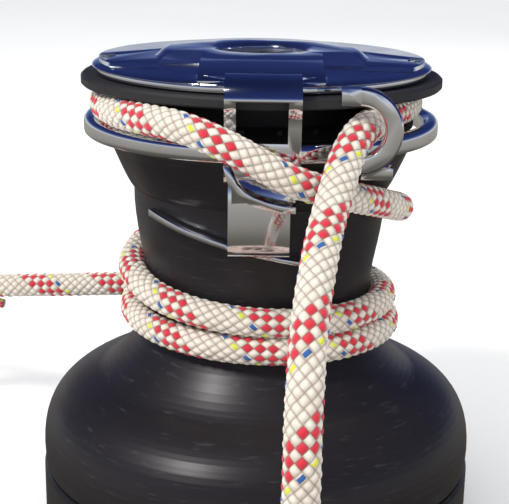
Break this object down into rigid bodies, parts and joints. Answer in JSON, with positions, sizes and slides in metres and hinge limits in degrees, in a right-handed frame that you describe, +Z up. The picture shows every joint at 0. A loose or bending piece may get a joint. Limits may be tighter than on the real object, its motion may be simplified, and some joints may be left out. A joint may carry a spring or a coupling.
{
  "type": "sailboat winch",
  "caption": "Two-speed self-tailing sheet winch: domed black drum on a round base, chrome cap, feeder arm and line guide, with a braided line wound on it and led through the jaws.",
  "frame": {"origin": "centre of the base's underside", "axes": "+Z up along the spindle; -Y towards the feeder arm; +X to the right when facing the arm"},
  "size_m": [0.2525, 0.3315, 0.171],
  "materials": {
    "polished_chrome": "mirror polished",
    "stainless_steel": "satin",
    "spindle_steel": "machined",
    "black_anodised": "satin black hard anodised",
    "jaw_composite": "matt moulded",
    "bearing_nylon": "natural nylon",
    "gear_bronze": "machined bronze",
    "braided_line": "braided polyester, cream with red checks",
    "whipping_twine": "waxed twine"
  },
  "bodies": {
    "fixed_frame": {"base": "black_anodised", "centre_stem": "stainless_steel", "stem_screws": "stainless_steel", "lower_bush": "bearing_nylon", "upper_bush": "bearing_nylon", "idler_shaft_a": "stainless_steel", "idler_shaft_b": "stainless_steel", "slow_gear_shaft": "stainless_steel", "thrust_washer": "bearing_nylon", "bearing_spacer": "bearing_nylon", "feeder_arm": "polished_chrome", "arm_screws": "stainless_steel", "top_cap": "polished_chrome", "cap_screws": "stainless_steel", "guide_ring": "polished_chrome", "ring_screws": "stainless_steel", "saddle_block": "polished_chrome", "guide_blade": "polished_chrome", "line_hook": "polished_chrome", "hook_screw": "stainless_steel", "line_standing": "braided_line", "line_wound": "braided_line", "line_tail": "braided_line", "line_coil": "braided_line", "line_end": "braided_line", "tail_whipping": "whipping_twine", "eye_splice": "braided_line", "eye_loop": "braided_line", "eye_thimble": "stainless_steel"},
    "drum_assembly": {"drum": "black_anodised", "ring_gear": "gear_bronze", "ring_gear_screws": "stainless_steel", "jaw_carrier": "jaw_composite", "carrier_screws": "stainless_steel", "upper_jaw": "jaw_composite", "upper_jaw_screws": "stainless_steel", "jaw_springs": "stainless_steel"},
    "sprung_jaw": {"lower_jaw": "jaw_composite"},
    "lower_bearing": {"lower_cage": "bearing_nylon", "lower_rollers": "stainless_steel"},
    "upper_bearing": {"upper_cage": "bearing_nylon", "upper_rollers": "stainless_steel"},
    "spindle": {"main_spindle": "spindle_steel", "slow_drive_gear": "gear_bronze", "fast_pawl_carrier": "stainless_steel", "fast_pawl_pins": "stainless_steel", "fast_pawl_springs": "stainless_steel"},
    "fast_gear": {"fast_ratchet_gear": "gear_bronze"},
    "fast_pawl_one": {"fast_pawl_a": "stainless_steel"},
    "fast_pawl_two": {"fast_pawl_b": "stainless_steel"},
    "idler_one": {"idler_gear_a": "gear_bronze"},
    "idler_two": {"idler_gear_b": "gear_bronze"},
    "slow_gear": {"slow_ratchet_gear": "gear_bronze"},
    "slow_pinion_shaft": {"slow_pinion": "stainless_steel", "slow_pawl_pins": "stainless_steel", "slow_pawl_springs": "stainless_steel"},
    "slow_pawl_one": {"slow_pawl_a": "stainless_steel"},
    "slow_pawl_two": {"slow_pawl_b": "stainless_steel"}
  },
  "joints": [
    {"name": "drum_turn", "type": "hinge", "parent": "fixed_frame", "child": "drum_assembly", "pos_m": [0, 0, 0.02], "axis": [0, 0, 1], "continuous": true},
    {"name": "jaw_slide", "type": "slide", "parent": "drum_assembly", "child": "sprung_jaw", "axis": [0, 0, 1], "range_m": [-0.003, 0], "stiffness_N_per_m": 2000, "springref_m": 0.001, "deforming": ["jaw_springs"]},
    {"name": "lower_bearing_turn", "type": "hinge", "parent": "fixed_frame", "child": "lower_bearing", "pos_m": [0, 0, 0.02], "axis": [0, 0, 1], "continuous": true},
    {"name": "upper_bearing_turn", "type": "hinge", "parent": "fixed_frame", "child": "upper_bearing", "pos_m": [0, 0, 0.02], "axis": [0, 0, 1], "continuous": true},
    {"name": "handle_turn", "type": "hinge", "parent": "fixed_frame", "child": "spindle", "pos_m": [0, 0, 0.02], "axis": [0, 0, 1], "continuous": true},
    {"name": "fast_gear_turn", "type": "hinge", "parent": "fixed_frame", "child": "fast_gear", "pos_m": [0, 0, 0.02], "axis": [0, 0, 1], "continuous": true},
    {"name": "idler_a_turn", "type": "hinge", "parent": "fixed_frame", "child": "idler_one", "pos_m": [-0.03464, 0.02, 0.02], "axis": [0, 0, 1], "continuous": true},
    {"name": "idler_b_turn", "type": "hinge", "parent": "fixed_frame", "child": "idler_two", "pos_m": [-0.048, 0, 0.02], "axis": [0, 0, 1], "continuous": true},
    {"name": "slow_gear_turn", "type": "hinge", "parent": "fixed_frame", "child": "slow_gear", "pos_m": [0.04, 0, 0.02], "axis": [0, 0, 1], "continuous": true},
    {"name": "slow_pinion_turn", "type": "hinge", "parent": "fixed_frame", "child": "slow_pinion_shaft", "pos_m": [0.04, 0, 0.02], "axis": [0, 0, 1], "continuous": true},
    {"name": "fast_pawl_a_swing", "type": "hinge", "parent": "spindle", "child": "fast_pawl_one", "pos_m": [0.0115, 0, 0.02], "axis": [0, 0, 1], "range_deg": [-22, 0], "stiffness_Nm_per_rad": 0.002, "springref_deg": 5.73},
    {"name": "fast_pawl_b_swing", "type": "hinge", "parent": "spindle", "child": "fast_pawl_two", "pos_m": [-0.0115, 0, 0.02], "axis": [0, 0, 1], "range_deg": [-22, 0], "stiffness_Nm_per_rad": 0.002, "springref_deg": 5.73},
    {"name": "slow_pawl_a_swing", "type": "hinge", "parent": "slow_pinion_shaft", "child": "slow_pawl_one", "pos_m": [0.0515, 0, 0.01], "axis": [0, 0, 1], "range_deg": [0, 22], "stiffness_Nm_per_rad": 0.002},
    {"name": "slow_pawl_b_swing", "type": "hinge", "parent": "slow_pinion_shaft", "child": "slow_pawl_two", "pos_m": [0.0285, 0, 0.01], "axis": [0, 0, 1], "range_deg": [0, 22], "stiffness_Nm_per_rad": 0.002}
  ],
  "couplings": [
    {"joint": "lower_bearing_turn", "follows": "drum_turn", "ratio": 0.55},
    {"joint": "upper_bearing_turn", "follows": "drum_turn", "ratio": 0.55},
    {"joint": "handle_turn", "follows": "drum_turn", "ratio": 2.1429},
    {"joint": "fast_gear_turn", "follows": "drum_turn", "ratio": 2.1429},
    {"joint": "idler_a_turn", "follows": "drum_turn", "ratio": -5},
    {"joint": "idler_b_turn", "follows": "drum_turn", "ratio": 5},
    {"joint": "slow_gear_turn", "follows": "drum_turn", "ratio": -1.0317},
    {"joint": "slow_pinion_turn", "follows": "drum_turn", "ratio": 3}
  ]
}
